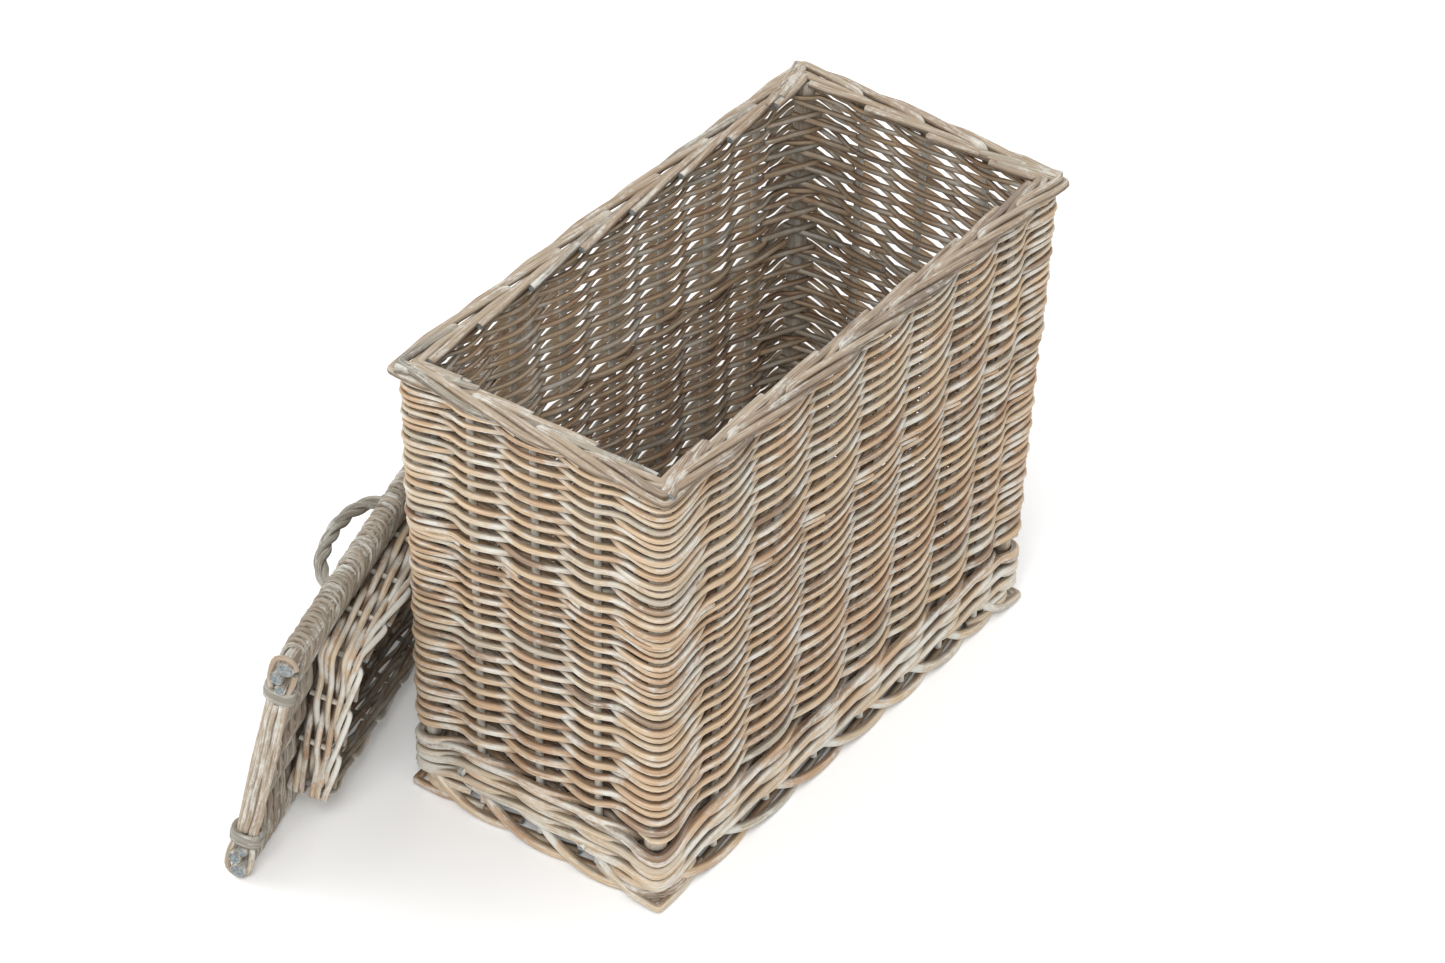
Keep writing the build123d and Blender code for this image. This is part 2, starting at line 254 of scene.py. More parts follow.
class Nodes:
    """Short names for building a node tree."""

    def __init__(self, name):
        self.material = bpy.data.materials.new(name)
        self.material.use_nodes = True
        self.tree = self.material.node_tree
        self.shader = self.tree.nodes["Principled BSDF"]

    def link(self, a, b):
        self.tree.links.new(a, b)

    def add(self, kind, **settings):
        node = self.tree.nodes.new(kind)
        for key, value in settings.items():
            setattr(node, key, value)
        return node

    def attribute(self, name, output):
        return self.add("ShaderNodeAttribute", attribute_name=name).outputs[output]

    def noise(self, vector, scale, stretch=(1, 1, 1), detail=3.0, rough=0.55):
        mapping = self.add("ShaderNodeMapping")
        mapping.inputs["Scale"].default_value = stretch
        self.link(vector, mapping.inputs["Vector"])
        noise = self.add("ShaderNodeTexNoise")
        noise.inputs["Scale"].default_value = scale
        noise.inputs["Detail"].default_value = detail
        noise.inputs["Roughness"].default_value = rough
        self.link(mapping.outputs["Vector"], noise.inputs["Vector"])
        return noise.outputs["Fac"]

    def math(self, operation, a, b=0.0, c=0.0):
        node = self.add("ShaderNodeMath", operation=operation)
        for socket, value in zip(node.inputs, (a, b, c)):
            if isinstance(value, (int, float)):
                socket.default_value = value
            else:
                self.link(value, socket)
        return node.outputs[0]

    def spread(self, value, low, high, to_low=0.0, to_high=1.0):
        node = self.add("ShaderNodeMapRange")
        node.inputs["From Min"].default_value = low
        node.inputs["From Max"].default_value = high
        node.inputs["To Min"].default_value = to_low
        node.inputs["To Max"].default_value = to_high
        self.link(value, node.inputs["Value"])
        return node.outputs["Result"]

    def mix(self, factor, a, b, blend="MIX"):
        node = self.add("ShaderNodeMix", data_type="RGBA", blend_type=blend)
        for socket, value in ((node.inputs[0], factor), (node.inputs[6], a), (node.inputs[7], b)):
            if isinstance(value, tuple) or isinstance(value, float):
                socket.default_value = value
            else:
                self.link(value, socket)
        return node.outputs[2]

    def ramp(self, value, stops):
        node = self.add("ShaderNodeValToRGB")
        points = node.color_ramp.elements
        while len(points) < len(stops):
            points.new(0.5)
        for point, (place, colour) in zip(points, stops):
            point.position = place
            point.color = colour
        self.link(value, node.inputs["Fac"])
        return node.outputs["Color"]


def willow(name, stops, wash_from, wash_to, cut_colours=None, crease=None):
    """Weathered willow: rod colours, fibres along the rod, limewash left in places, cut ends.

    The wash starts at wash_from and is full at wash_to, so lower values leave more of it.
    """
    m = Nodes(name)
    grain = m.attribute("grain", "Vector")
    tone = m.attribute("tone", "Fac")
    wash = m.attribute("wash", "Fac")
    cut = m.attribute("cut", "Fac")
    painted_light_mask = m.attribute("open", "Fac")
    slow = m.noise(grain, 14.0, detail=2.0)
    patch = m.noise(grain, 150.0, (1, 1, 0.22), detail=3.0)
    fibre = m.noise(grain, 1100.0, (1, 1, 0.03), detail=3.0, rough=0.6)
    fleck = m.noise(grain, 420.0, (1, 1, 0.5), detail=2.0)
    shifted = m.math("ADD", tone, m.spread(slow, 0.25, 0.75, -0.2, 0.2))
    base = m.ramp(shifted, stops)
    dark = m.mix(1.0, base, FIBRE_DARK, "MULTIPLY")
    light = m.mix(0.22, base, LIMEWASH)
    streaked = m.mix(m.spread(fibre, 0.3, 0.68), dark, light)
    blotched = m.mix(m.spread(patch, 0.6, 0.8, 0.0, 0.4), streaked, dark)
    normal = m.add("ShaderNodeNewGeometry").outputs["Normal"]
    parts = m.add("ShaderNodeSeparateXYZ")
    m.link(normal, parts.inputs[0])
    # paler on downward faces: partly limewash, partly painted light that lifts the rods' shaded
    # undersides
    under = m.spread(parts.outputs["Z"], -0.25, -0.85, 0.0, 0.16)
    amount = m.math("ADD", m.math("MULTIPLY", wash, 0.24), patch)
    amount = m.math("ADD", amount, under)
    amount = m.math("ADD", amount, m.math("MULTIPLY", m.spread(fleck, 0.3, 0.7), 0.2))
    streaky = m.math("ADD", amount, m.math("MULTIPLY", m.spread(fibre, 0.3, 0.7), 0.2))
    washed = m.mix(m.spread(streaky, wash_from, wash_to, 0.0, 0.86), blotched, LIMEWASH)
    if crease:
        # painted shade where one rod touches the next: above and below in a wall, beside in the
        # rim
        steep = m.math("ABSOLUTE", parts.outputs["Z"])
        touch = m.spread(steep, *crease)
        washed = m.mix(touch, washed, m.mix(1.0, washed, CREASE_SHADE, "MULTIPLY"))
    # painted shade, with some duller colour, on faces whose open value falls below 1
    shaded = m.mix(1.0, washed, INNER_SHADE_AND_GRIME, "MULTIPLY")
    lit = m.mix(painted_light_mask, shaded, washed)
    rings = m.mix(m.spread(fleck, 0.35, 0.65), *(cut_colours or CUT_GREY))
    colour = m.mix(cut, lit, rings)
    m.link(colour, m.shader.inputs["Base Color"])
    m.link(m.spread(fibre, 0.3, 0.7, 0.72, 0.5), m.shader.inputs["Roughness"])
    m.shader.inputs["Specular IOR Level"].default_value = 0.3
    bump = m.add("ShaderNodeBump")
    bump.inputs["Strength"].default_value = FIBRE_BUMP
    bump.inputs["Distance"].default_value = FIBRE_DEPTH
    m.link(m.math("ADD", fibre, m.math("MULTIPLY", fleck, 0.5)), bump.inputs["Height"])
    m.link(bump.outputs["Normal"], m.shader.inputs["Normal"])
    return m.material


LIMEWASH = srgb(216, 216, 209)
CUT_GREY = (srgb(104, 110, 112), srgb(150, 156, 157))
# painted shade for the base rods' cut ends, seen in the shadowed gaps of the foot border
CUT_SHADED = (srgb(74, 66, 58), srgb(98, 88, 78))
FIBRE_DARK = (0.62, 0.58, 0.535, 1.0)       # multiplies a rod's colour between its fibres
CREASE_SHADE = (0.46, 0.41, 0.37, 1.0)       # painted shade: multiplies it where rods touch
INNER_SHADE_AND_GRIME = (0.43, 0.40, 0.375, 1.0)           # multiplies it on inner faces: painted shade, with some of their duller unwashed colour
WALL_CREASE = (0.74, 1.0)                   # steepness of the surface where the painted shade starts, is full
RIM_CREASE = (0.62, 0.08)
FIBRE_BUMP, FIBRE_DEPTH = 0.5, 0.0006
BODY_STOPS = [(0.0, srgb(152, 123, 96)), (0.22, srgb(200, 162, 124)), (0.45, srgb(219, 190, 153)),
              (0.68, srgb(213, 195, 168)), (0.86, srgb(192, 183, 166)), (1.0, srgb(158, 153, 143))]
RIM_STOPS = [(0.0, srgb(128, 109, 91)), (0.25, srgb(164, 140, 115)), (0.5, srgb(180, 161, 137)),
             (0.75, srgb(171, 159, 141)), (1.0, srgb(138, 132, 121))]
GREY_STOPS = [(0.0, srgb(112, 98, 84)), (0.3, srgb(146, 128, 108)), (0.6, srgb(158, 145, 127)),
              (0.85, srgb(144, 136, 122)), (1.0, srgb(118, 113, 105))]
ROPE_STOPS = [(0.0, srgb(104, 98, 88)), (0.5, srgb(132, 126, 114)), (1.0, srgb(148, 142, 130))]
SHADE_STOPS = [(0.0, srgb(84, 72, 62)), (0.35, srgb(118, 100, 84)), (0.65, srgb(134, 118, 100)),
               (1.0, srgb(102, 94, 84))]
WILLOW = willow("willow_rods", BODY_STOPS, 0.76, 1.04, crease=WALL_CREASE)
WILLOW_RIM = willow("willow_rim", RIM_STOPS, 0.8, 1.1, crease=RIM_CREASE)
WILLOW_END = willow("willow_ends", RIM_STOPS, 0.76, 1.04)
WILLOW_BASE = willow("willow_base", GREY_STOPS, 0.78, 1.12, CUT_SHADED)
WILLOW_STICK = willow("willow_sticks", BODY_STOPS, 0.64, 0.94)
WILLOW_GREY = willow("willow_grey", GREY_STOPS, 0.78, 1.12)
WILLOW_ROPE = willow("willow_rope", ROPE_STOPS, 0.8, 1.12)
WILLOW_SHADE = willow("willow_shaded", SHADE_STOPS, 0.78, 1.1)


# ---------------------------------------------------------------- paths round a rectangular wall
class Ring:
    """A rectangular wall of uprights. Rods travel counter-clockwise seen from above.

    An upright is numbered in that order from the corner at (-x, -y). A path is given
    by place s along the uprights, offset o out of the wall's middle surface and
    height z.
    """

    def __init__(self, half, counts, inset, drift=(0, 0, 0, 0), turn=17.3, to_world=None):
        self.half, self.inset, self.drift, self.turn = half, inset, drift, turn
        self.to_world = to_world
        self.marks = []
        for side, count in enumerate(counts):
            self.marks.append((side, 0.0, True))
            for j in range(count):
                self.marks.append((side, (j + 1) / (count + 1), False))
        self.n = len(self.marks)

    def corner(self, k):
        return self.marks[int(k) % self.n][2]

    def axes(self, side):
        c, s = ((1, 0), (0, 1), (-1, 0), (0, -1))[side]
        return np.array([c, s, 0.0]), np.array([s, -c, 0.0])

    def spans(self, side, z):
        """Half length along the side, and its distance from the centre."""
        hx, hy = self.half(z)
        return (hx, hy) if side % 2 == 0 else (hy, hx)

    def along(self, k, z, arriving=False):
        side, share, corner = self.marks[int(k) % self.n]
        if corner:
            side = (side - 1) % 4 if arriving else side
            span = self.spans(side, z)[0] - self.inset
            return span if arriving else -span
        span = self.spans(side, z)[0]
        return span * (2 * share - 1) + self.drift[side] * 4 * share * (1 - share)

    def place(self, side, t, o, z):
        travel, out = self.axes(side)
        return travel * t + out * (self.spans(side, z)[1] + o) + np.array([0, 0, z])

    def upright(self, k, z):
        """Middle of an upright at height z."""
        side, _, corner = self.marks[int(k) % self.n]
        return self.place(side, self.along(k, z), -self.inset if corner else 0.0, z)

    def follow(self, s, o, z, sharp=99.0, turn=None):
        """Points along the wall, turning round the corner posts with at most that radius."""
        points = []
        turn = self.turn if turn is None else turn
        for a, b, c in zip(s, o, z):
            k = math.floor(a + 1e-6)
            u = max(0.0, a - k)
            side, _, corner = self.marks[k % self.n]
            reach = self.inset + b
            if corner and u < 1e-5:
                before = (side - 1) % 4
                end = self.along(k, c, arriving=True)
                if reach > 0.5:
                    travel, out = self.axes(before)
                    bend = min(reach, sharp)
                    hub = (self.place(before, end, -self.inset, c)
                           + (reach - bend) * (out + travel))
                    for beta in np.linspace(0, math.pi / 2, 5):
                        points.append(hub + bend * (out * math.cos(beta)
                                                    + travel * math.sin(beta)))
                else:
                    away = max(turn if b < -self.inset else 0.0, -reach)
                    points.append(self.place(before, end - away, b, c))
                    points.append(self.place(side, -end_of(self, side, c) + away, b, c))
                continue
            t0 = self.along(k, c)
            t1 = self.along(k + 1, c, arriving=True)
            t = t0 + (t1 - t0) * u
            if b < 0.5 - self.inset:
                room = max(turn, -reach) + 2
                if corner and t - t0 < room:
                    continue
                if self.corner(k + 1) and t1 - t < room:
                    continue
            points.append(self.place(side, t, b, c))
        return np.array(points)

    def finish(self, points):
        return points if self.to_world is None else self.to_world(points)


def end_of(ring, side, z):
    return ring.spans(side, z)[0] - ring.inset


WALLS = Ring(wall_half, (SHORT_STAKES, LONG_STAKES) * 2, POST_INSET, (0, RIGHT_DRIFT, 0, 0))


def ease(u):
    return (1 - np.cos(np.pi * u)) / 2


PROUD_BEND = 1.5         # every fourth bend round a post stands out by this
POST_CROSS = 0.36        # where rods cross between a post and the next stake, from the post
LOOSE = 0.1              # how much thinner the rods are in the left and back walls


def french_randing(bundle, ring, low, high, d0, d1, upright_r, steps=10, jitter=1.0,
                   inner_off=6.8, tones=None, fatness=(0.88, 1.02)):
    """One rod from every upright, each over one and under one, climbing a row per upright.

    Rods are d0 thick at low and d1 at high, and may be tapered by fatness.
    """
    rows = int(round(2 * (high - low) / (d0 + d1)))
    scale = (high - low) / (rows * (d0 + d1) / 2)
    p0, p1 = d0 * scale, d1 * scale
    thick_posts = ring.inset > 3

    def pitch(m):
        return p0 + (p1 - p0) * m / rows

    def height(m):
        return low + p0 / 2 + p0 * m + (p1 - p0) * m * m / (2 * rows)

    for i in range(ring.n):
        fat = rng.uniform(*fatness)

        def offset(m):
            near = upright_r + pitch(max(m, 0)) / 2 + 0.4
            if not ring.corner(i + m):
                return near if m % 2 else -near
            if m % 4 == 3:
                return -inner_off
            if not thick_posts:
                return near
            return POST_R - ring.inset + pitch(m) / 2 + (PROUD_BEND if m % 4 == 1 else 0)

        def level(m):
            lift = 0.0
            if ring.corner(i + m) and thick_posts:
                lift = {0: -0.333, 2: 0.333}.get(m % 4, 0.0)
            return height(m) + lift * pitch(m)

        near0 = upright_r + p0 / 2
        s, o, z, w = [i - 0.6, i - 0.3], [-near0 - 2.5, -near0 - 1.2], [level(0)] * 2, [0.2, 0.2]
        for m in range(rows):
            last = m == rows - 1
            grid = np.linspace(0, 0.8, 8) if last else np.arange(steps) / steps
            nudge_z = rng.normal(0, 0.4 * jitter)
            nudge_o = rng.normal(0, 0.35 * jitter)
            o0, o1 = offset(m), offset(m + 1)
            z0, z1 = level(m), level(m + 1)
            # the crossing moves towards the stake where the next upright is a post
            cross = 0.5
            if ring.corner(i + m + 1):
                cross = POST_CROSS
            elif ring.corner(i + m):
                cross = 1 - POST_CROSS
            for u in grid:
                bell = math.sin(math.pi * u)
                v = 0.5 * u / cross if u < cross else 0.5 + 0.5 * (u - cross) / (1 - cross)
                if o0 * o1 > 0:
                    dip = (o0 + o1) / 2 - math.copysign(0.8, o0)
                    place = o0 + (o1 - o0) * u - dip * math.sin(math.pi * v) ** 2
                else:
                    place = o0 + (o1 - o0) * ease(v)
                s.append(i + m + u)
                o.append(place + nudge_o * bell)
                z.append(min(z0 + (z1 - z0) * u + nudge_z * bell, high - pitch(m) / 2))
                hit = math.exp(-((v - 0.5) / 0.16) ** 2)
                short = 0.9 if ring.corner(i + m) and m % 4 == 1 and u < 0.1 else 0.0
                w.append(max(hit, short))
        path = relax(ring.follow(s, o, z), 1)
        d = travelled(path)
        share = np.clip(d / d[-1], 0, 1)
        path[:, 2] += wander(d, 0.35 * jitter, 210)
        r = (p0 + (p1 - p0) * share) / 2 * fat * (1 + wander(d, 0.035, 90))
        if ring.to_world is None:
            # the left and back walls are woven a little looser
            left = np.clip((-path[:, 0] - 60) / 40, 0, 1)
            back = np.clip((path[:, 1] - 200) / 30, 0, 1)
            r = r * (1 - LOOSE * np.maximum(left, back))
        wash = np.interp(np.linspace(0, 1, len(path)), np.linspace(0, 1, len(w)), w)
        wash = wash + wander(d, 0.35, 130)
        tone = rng.beta(2.6, 2.6) if tones is None else tones()
        bundle.rod(ring.finish(path), r, tone=tone, wash=wash)


def basket_painted_light(p):
    """Painted light: 1 on the basket's outside and top, falling to 0 towards its inside, where
    shade and a duller colour are painted.
    """
    proud = np.max(np.abs(p[:, :2]) - wall_half(p[:, 2:]), axis=1)
    above = np.clip((p[:, 2] - WEAVE_TOP + 2) / 8, 0, 1)
    # painted light: the left wall's inner face stays partly lit, as light falls into it from the
    # right
    left = 0.34 * np.clip((-p[:, 0] - 60) / 50, 0, 1)
    return np.maximum(np.clip((proud + 5.5) / 10, left, 1), above)


def stick_path(p, q, step, bend=0.5):
    """An almost straight stick."""
    p, q = np.array(p, float), np.array(q, float)
    n = max(3, int(np.linalg.norm(q - p) / step))
    t = np.linspace(0, 1, n + 1)
    path = p + (q - p) * t[:, None]
    length = np.linalg.norm(q - p)
    path[:, 0] += wander(t * length, bend, 260)
    path[:, 1] += wander(t * length, bend, 300)
    return path


# ---------------------------------------------------------------- posts and stakes
corner_marks = [k for k in range(WALLS.n) if WALLS.corner(k)]
POST_NAMES = ("post_front_left", "post_front_right", "post_back_right", "post_back_left")
for name, k in zip(POST_NAMES, corner_marks):
    post = Bundle(sides=14)
    path = stick_path(WALLS.upright(k, POST_LOW), WALLS.upright(k, POST_TOP), 12, 0.4)
    taper = np.linspace(POST_R, POST_R * 0.9, len(path))
    post.rod(path, taper, tone=rng.uniform(0.5, 0.8), wash=0.2, chamfer=0.1)
    post.piece(f"{name}_willow", "basket", (name,), WILLOW_STICK, basket_painted_light)

stake_sides = (("stakes_front", 0), ("stakes_right", 1), ("stakes_back", 2), ("stakes_left", 3))
for name, side in stake_sides:
    low, high = cad_box(name)
    stakes = Bundle(sides=8)
    for k, mark in enumerate(WALLS.marks):
        if mark[0] == side and not mark[2]:
            path = stick_path(WALLS.upright(k, low[2] + 1), WALLS.upright(k, high[2] - 3), 14, 0.5)
            stakes.rod(path, np.linspace(STAKE_R * 1.05, STAKE_R * 0.9, len(path)),
                       tone=rng.uniform(0.35, 0.95), wash=1.0)
    stakes.piece(f"{name}_willow", "basket", (name,), WILLOW_STICK, basket_painted_light)


# ---------------------------------------------------------------- side weave
FINGER_STEP = 15.5       # height from one wall's rod end to its next
# Distance before the corner post, and offset from the wall; the tip's distance is added.
FINGER_KEYS = [(-52, -4.0), (-40, -8.0), (-24, -12.0), (-11, -17.0)]
FINGER_TIP = -20.5


def corner_fingers(bundle, low, high, r0, r1):
    """Rod ends inside each corner: the two walls' ends lie over the post in turn."""
    for k in corner_marks:
        after = WALLS.marks[k][0]
        before = (after - 1) % 4
        for side, sign, shift in ((before, 1, 0.0), (after, -1, 0.5)):
            z0 = low + 5 + shift * FINGER_STEP
            while z0 < high - 6:
                z = z0 + rng.uniform(-1.5, 1.5)
                share = (z - low) / (high - low)
                end = end_of(WALLS, side, z)
                keys = FINGER_KEYS + [(rng.uniform(1.0, 5.0), FINGER_TIP)]
                rise = 3.5 * np.linspace(-1, 1, len(keys)) * sign
                points = [WALLS.place(side, sign * (end + t), o, z + dz)
                          for (t, o), dz in zip(keys, rise)]
                r = (r0 + (r1 - r0) * share) * rng.uniform(0.85, 1.0)
                bundle.rod(spline(points, 6.0, 2), r, tone=rng.beta(2.6, 2.6), wash=0.4)
                z0 += FINGER_STEP


lower = Bundle()
french_randing(lower, WALLS, WALE_TOP, BAND_JOINT, 7.2, 4.7, STAKE_R)
corner_fingers(lower, WALE_TOP, BAND_JOINT, 3.5, 2.4)
lower.piece("lower_weave_rods", "basket", ("lower_weave",), WILLOW, basket_painted_light)

BAND_OVERLAP = 4.2
upper = Bundle()
french_randing(upper, WALLS, BAND_JOINT - BAND_OVERLAP, WEAVE_TOP, 6.9, 4.9, STAKE_R)
corner_fingers(upper, BAND_JOINT, WEAVE_TOP, 3.3, 2.5)
upper.piece("upper_weave_rods", "basket", ("upper_weave",), WILLOW, basket_painted_light)

# ---------------------------------------------------------------- bottom waling
WALE_D = 7.9
WALE_ROUNDS = 3
WALE_DIP = (7.0, 5.5)    # how far it dips at a post: at its foot, and more than that at its top
wale = Bundle()
wale_rise = (WALE_TOP - FOOT_TOP) / WALE_ROUNDS
for turn_number in range(WALE_ROUNDS):
    start_at = int(rng.integers(0, WALLS.n))
    for weaver in range(3):
        s, o, z = [], [], []
        first = start_at + weaver
        low = FOOT_TOP + turn_number * wale_rise + WALE_D / 2
        tilt = (wale_rise - WALE_D) / 2
        for m in range(WALLS.n + 1):
            k = first + m

            def state(k):
                phase = (k - weaver - start_at) % 3
                near = STAKE_R + WALE_D / 2 * 0.95
                corner = WALLS.corner(k)
                out = POST_R - POST_INSET + WALE_D / 2 if corner else near
                return ((-near, 1.0), (out, 0.3), (out, 1.75))[phase]

            (o0, h0), (o1, h1) = state(k), state(k + 1)
            steps = 10 if m < WALLS.n else 4
            for u in np.arange(steps) / 10:
                away = u if WALLS.corner(k) else 1 - u if WALLS.corner(k + 1) else 1.0
                level = low + tilt * (h0 + (h1 - h0) * ease(u))
                share = (level - FOOT_TOP) / (WALE_TOP - FOOT_TOP)
                s.append(k + u)
                o.append(o0 + (o1 - o0) * ease(u))
                z.append(level - (WALE_DIP[0] + WALE_DIP[1] * share)
                         * math.exp(-(away / 0.34) ** 2))
        path = relax(WALLS.follow(s, o, z, sharp=9.0), 2)
        d = travelled(path)
        path[:, 2] += wander(d, 0.5, 240)
        r = WALE_D / 2 * rng.uniform(0.93, 1.05) * (1 + wander(d, 0.06, 300))
        wale.rod(path, r, tone=rng.beta(2.2, 2.2), wash=0.6 + wander(d, 0.6, 150))
# Small cut ends that poke out of the front face.
for from_left, z in ((54.0, 45.0), (176.0, 34.0)):
    hx, hy = wall_half(z)
    x = -hx - WALL / 2 + from_left
    wale.rod([(x, -hy + 2, z + 3), (x + 0.5, -hy - 6, z + 1), (x + 1, -hy - 13.5, z - 0.5)], 3.3,
             tone=0.9, wash=1.0)
wale.piece("bottom_waling_rods", "basket", ("bottom_waling",), WILLOW, basket_painted_light)


# ---------------------------------------------------------------- borders
def border(bundle, ring, keys, radius, taper=0.8, steps=9, tones=None, jitter=0.5, sharp=99.0):
    """One rod from every upright, laid along the keyed places (ahead, offset, height, wash)."""
    keys = np.array(keys, float)
    for k in range(ring.n):
        grid = np.arange(0, keys[-1, 0], 1 / steps)
        # whole numbers stay in, so a path turns exactly at the corner posts
        grid = np.unique(np.round(np.concatenate((grid, keys[:, 0])), 5))
        s = k + grid
        sway, lift, _ = rng.normal(0, jitter, 3)
        o = np.interp(grid, keys[:, 0], keys[:, 1]) + sway * np.sin(grid * 1.3)
        z = np.interp(grid, keys[:, 0], keys[:, 2]) + 0.5 * lift * np.sin(grid * 1.7)
        w = np.interp(grid, keys[:, 0], keys[:, 3])
        path = ring.follow(s, o, z, sharp, turn=0.0)
        if not ring.corner(k):
            path[0] = ring.upright(k, z[0])
        d = np.linspace(0, 1, len(path))
        w = np.interp(d, np.linspace(0, 1, len(w)), w)
        path = relax(path, 1)
        r = radius * rng.uniform(0.92, 1.06) * (1 - (1 - taper) * d)
        tone = rng.beta(2, 2) if tones is None else tones()
        bundle.rod(ring.finish(path), r, tone=tone, wash=w)


FOOT_R = 4.2
foot = Bundle()
border(foot, WALLS,
       [(0.0, 0.0, FOOT_TOP + 4, 1.0), (0.08, 3.5, FOOT_TOP + 1, 1.6),
        (0.2, 6.0, FOOT_TOP - 3.5, 1.2), (0.4, 6.8, 15.0, 0.4), (0.7, 7.6, 8.4, 0.3),
        (1.0, 7.6, 4.8, 0.3), (1.3, 6.0, 4.3, 0.3), (1.6, 2.0, 4.4, 0.3),
        (2.0, -1.5, 4.4, 0.3), (2.35, -5.0, 4.8, 0.3), (2.6, -6.0, 7.4, 0.3)],
       FOOT_R, taper=0.88, sharp=2.5)
# Three more rods bend round each post at the foot, between the waling and the outer rods:
# height, offset, reach to each side of the post, radius. Their ends turn into the wall.
FOOT_CORNER_RODS = ((19.5, 5.6, 40, 3.9), (12.5, 6.2, 30, 4.0), (8.5, 4.6, 52, 3.8))
for k in corner_marks:
    after = WALLS.marks[k][0]
    before = (after - 1) % 4
    for z, out, reach, r in FOOT_CORNER_RODS:
        start, stop = end_of(WALLS, before, z), end_of(WALLS, after, z)
        back_off = [(-reach, out - 5, 2.0), (-reach * 0.6, out, 0.0),
                    (-reach * 0.3, out, 0.0), (-3.0, out, 0.0)]
        points = [WALLS.place(before, start + t, o, z + dz) for t, o, dz in back_off]
        points += [WALLS.place(after, -stop - t, o, z - dz) for t, o, dz in back_off[::-1]]
        foot.rod(spline(points, 6.0, 2), r, tone=rng.beta(2, 2), wash=0.5)
foot.piece("foot_border_rods", "basket", ("foot_border",), WILLOW, basket_painted_light)

RIM_R = 3.75
top = HEIGHT - RIM_R
rim = Bundle(sides=10)
border(rim, WALLS,
       [(0.02, -1.0, WEAVE_TOP - 3, 0.6), (0.05, -1.0, top - 3.5, 0.8),
        (0.12, -0.8, top - 0.3, 1.1), (0.2, -0.4, top, 0.8), (0.35, 0.4, top, 0.4),
        (0.6, 2.0, top, 0.3), (1.0, 5.0, top - 0.6, 0.3), (1.5, 8.4, top - 2.0, 0.3),
        (2.0, 9.0, top - 6.0, 0.4), (2.3, 5.4, top - 8.4, 0.4), (2.55, 0.4, top - 7.8, 0.4),
        (2.8, -2.4, top - 4.4, 0.4), (3.0, -4.2, top - 2.4, 0.4), (3.5, -5.2, top - 1.2, 0.3),
        (4.0, -7.4, top - 1.6, 0.3), (4.5, -11.0, top - 2.6, 0.3), (4.85, -12.0, top - 3.2, 0.8)],
       RIM_R, taper=0.93, sharp=4.0)
# At each corner two short rods start with a cut end and lie back across the rim:
# offset at the start and at the end, lift, length in stake spacings.
RIM_CORNER_RODS = ((8.6, -8.5, 0.6, 1.1), (3.0, -10.5, 0.2, 0.8))
STAKE_SPACING = 62
for k in corner_marks:
    side = WALLS.marks[k][0]
    for start_o, end_o, lift, length in RIM_CORNER_RODS:
        points = []
        for g in np.linspace(0, 1, 9):
            t = -end_of(WALLS, side, top) - POST_INSET - 3 + g * length * STAKE_SPACING
            points.append(WALLS.place(side, t, start_o + (end_o - start_o) * g ** 0.8,
                                      top + lift - 2.5 * (1 - g) ** 2 - 0.6 * g))
        rim.rod(relax(points, 1), np.linspace(4.2, 3.4, len(points)), tone=rng.beta(2, 2),
                wash=np.linspace(1.0, 0.3, len(points)))
rim.piece("top_border_rods", "basket", ("top_border",), WILLOW_RIM, basket_painted_light)

# ---------------------------------------------------------------- base
BASE_STICKS = 8
BASE_STICK_R = 4.5
base_mid = (BASE_LOW[2] + BASE_HIGH[2]) / 2
stick_low, stick_high = cad_box("base_sticks")
base_x = np.linspace(stick_low[0] + BASE_STICK_R, stick_high[0] - BASE_STICK_R, BASE_STICKS)
base_sticks = Bundle(sides=10)
for x in base_x:
    base_sticks.rod(stick_path((x, stick_low[1], base_mid), (x, stick_high[1], base_mid), 20, 0.6),
                    BASE_STICK_R, tone=rng.uniform(), wash=0.3)
base_sticks.piece("base_sticks_willow", "basket", ("base_sticks",), WILLOW_STICK,
                  basket_painted_light)

BASE_ROD = 5.4
BASE_SWING = 4.4         # how far a rod leaves the base's middle at a stick
base = Bundle(sides=6)
row_y = np.arange(BASE_LOW[1] + BASE_ROD / 2, BASE_HIGH[1] - BASE_ROD / 2, BASE_ROD * 0.985)
for row, y in enumerate(row_y):
    x_keys = np.concatenate(([BASE_LOW[0] + 1], base_x, [BASE_HIGH[0] - 1]))
    swing = np.array([(-1) ** (row + i) for i in range(len(base_x))]) * BASE_SWING
    z_keys = np.concatenate(([0], swing, [0])) + base_mid
    x = np.linspace(x_keys[0], x_keys[-1], 46)
    near = np.interp(x, x_keys, np.arange(len(x_keys)))
    low_k = np.clip(np.floor(near).astype(int), 0, len(x_keys) - 2)
    z = z_keys[low_k] + (z_keys[low_k + 1] - z_keys[low_k]) * ease(near - low_k)
    path = np.stack([x, np.full_like(x, y) + wander(x, 0.5, 90), z], axis=1)
    base.rod(path, BASE_ROD / 2 * rng.uniform(0.9, 1.05), tone=rng.uniform(), wash=0.2)
base.piece("base_weave_rods", "basket", ("base_weave",), WILLOW_BASE, basket_painted_light)

# ---------------------------------------------------------------- lid frame of reference
# u runs along the lid from the near end, v up its width, n out of its underside.
LEAN, YAW = math.radians(11.7), math.radians(17.3)
LID_LONG, LID_WIDE = 540.0, 250.0
LID_MID_U, LID_MID_V = LID_LONG / 2, LID_WIDE / 2
U = np.array([-math.sin(YAW), math.cos(YAW), 0])
N = np.array([math.cos(LEAN) * math.cos(YAW), math.cos(LEAN) * math.sin(YAW), -math.sin(LEAN)])
V = np.cross(N, U)
inner_low, inner_high = cad_box("lid_inner_sticks")
LID_ORIGIN = (inner_low + inner_high) / 2 - U * LID_MID_U - V * LID_MID_V


def lid(points):
    """World points from (u, v, n)."""
    p = np.atleast_2d(np.asarray(points, float))
    return LID_ORIGIN + p[:, :1] * U + p[:, 1:2] * V + p[:, 2:] * N


ROLL_THICK = 22.0
